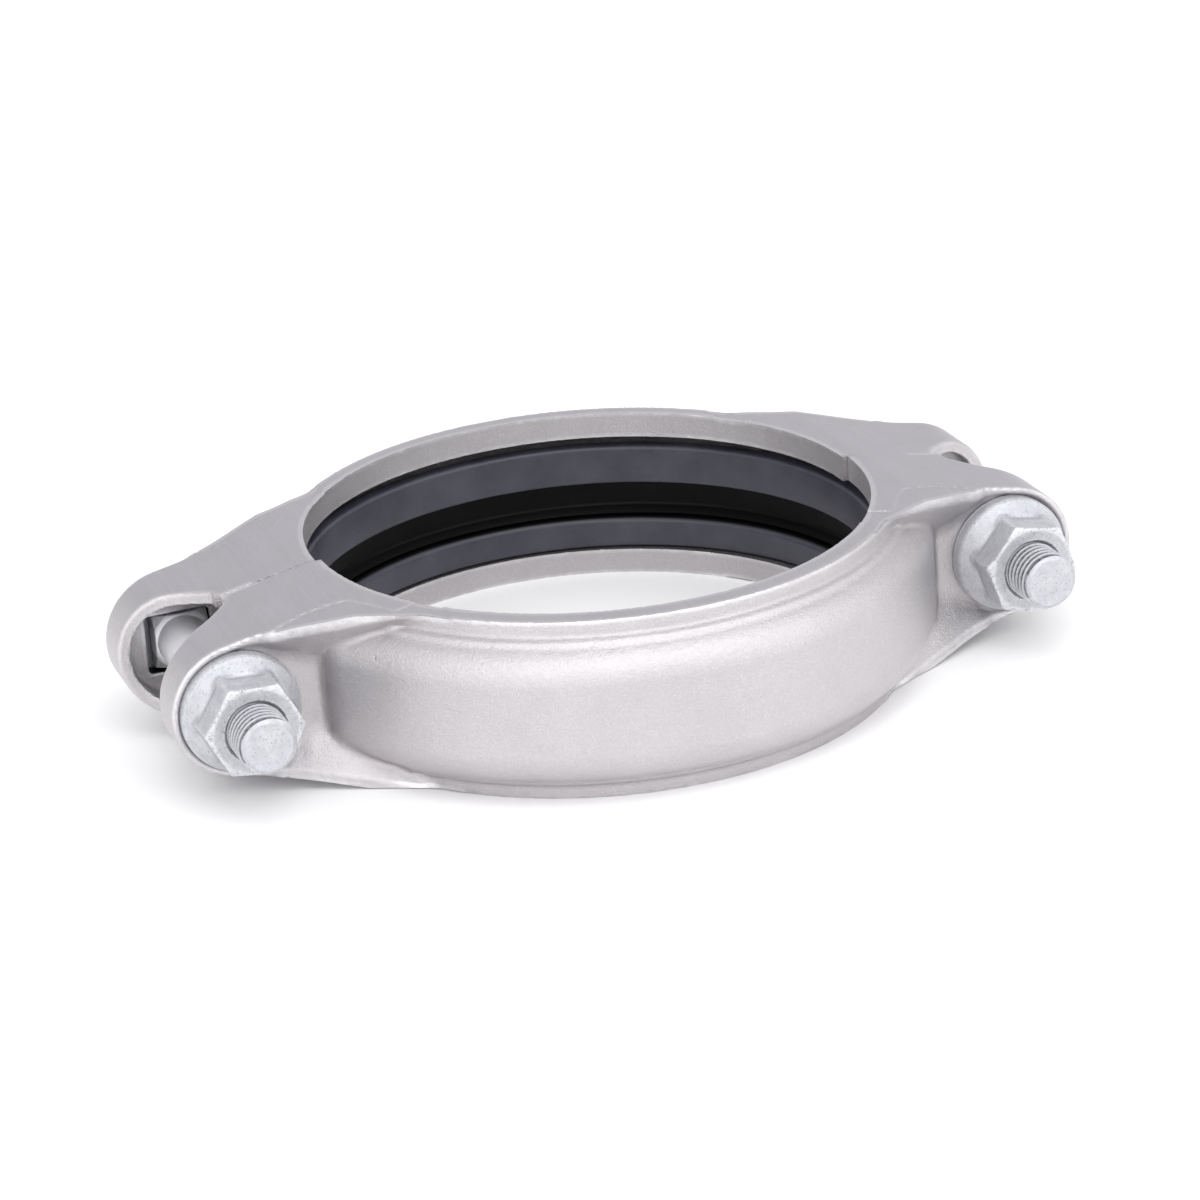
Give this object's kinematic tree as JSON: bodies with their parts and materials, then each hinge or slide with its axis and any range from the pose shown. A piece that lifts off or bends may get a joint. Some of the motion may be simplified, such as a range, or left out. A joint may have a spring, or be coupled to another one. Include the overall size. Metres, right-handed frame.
{
  "type": "grooved coupling",
  "caption": "Two-part stainless grooved pipe coupling with a C-section rubber gasket, held by track bolts and flange nuts through its ears.",
  "frame": {"origin": "on the pipe axis, in the plane of the lower end faces, which the coupling lies on", "axes": "+Z along the pipe axis, upwards; +X through both bolts, from the left ear to the right; +Y away from the nuts, towards the bolt heads"},
  "size_m": [0.2636, 0.186, 0.05],
  "materials": {
    "stainless": "bead-blasted cast stainless steel, end faces linished",
    "zinc": "matt zinc",
    "rubber": "satin moulded rubber"
  },
  "bodies": {
    "front": {"front_housing": "stainless"},
    "back": {"back_housing": "stainless", "left_bolt": "zinc", "right_bolt": "zinc"},
    "gasket": {"gasket": "rubber"},
    "left_nut": {"left_nut": "zinc"},
    "right_nut": {"right_nut": "zinc"}
  },
  "joints": [
    {"name": "halves_part", "type": "slide", "parent": "front", "child": "back", "axis": [0, 1, 0], "range_m": [0, 0.024]},
    {"name": "left_nut_turn", "type": "hinge", "parent": "front", "child": "left_nut", "pos_m": [-0.1116, 0, 0.025], "axis": [0, -1, 0], "range_deg": [0, 4320]},
    {"name": "right_nut_turn", "type": "hinge", "parent": "front", "child": "right_nut", "pos_m": [0.1124, 0, 0.025], "axis": [0, -1, 0], "range_deg": [0, 4320]},
    {"name": "gasket_float", "type": "slide", "parent": "front", "child": "gasket", "axis": [0, 1, 0], "range_m": [0, 0.012]}
  ],
  "couplings": [
    {"joint": "left_nut_turn", "follows": "halves_part", "rad_per_m": 3141.6},
    {"joint": "right_nut_turn", "follows": "halves_part", "rad_per_m": 3141.6},
    {"joint": "gasket_float", "follows": "halves_part", "ratio": 0.5}
  ]
}
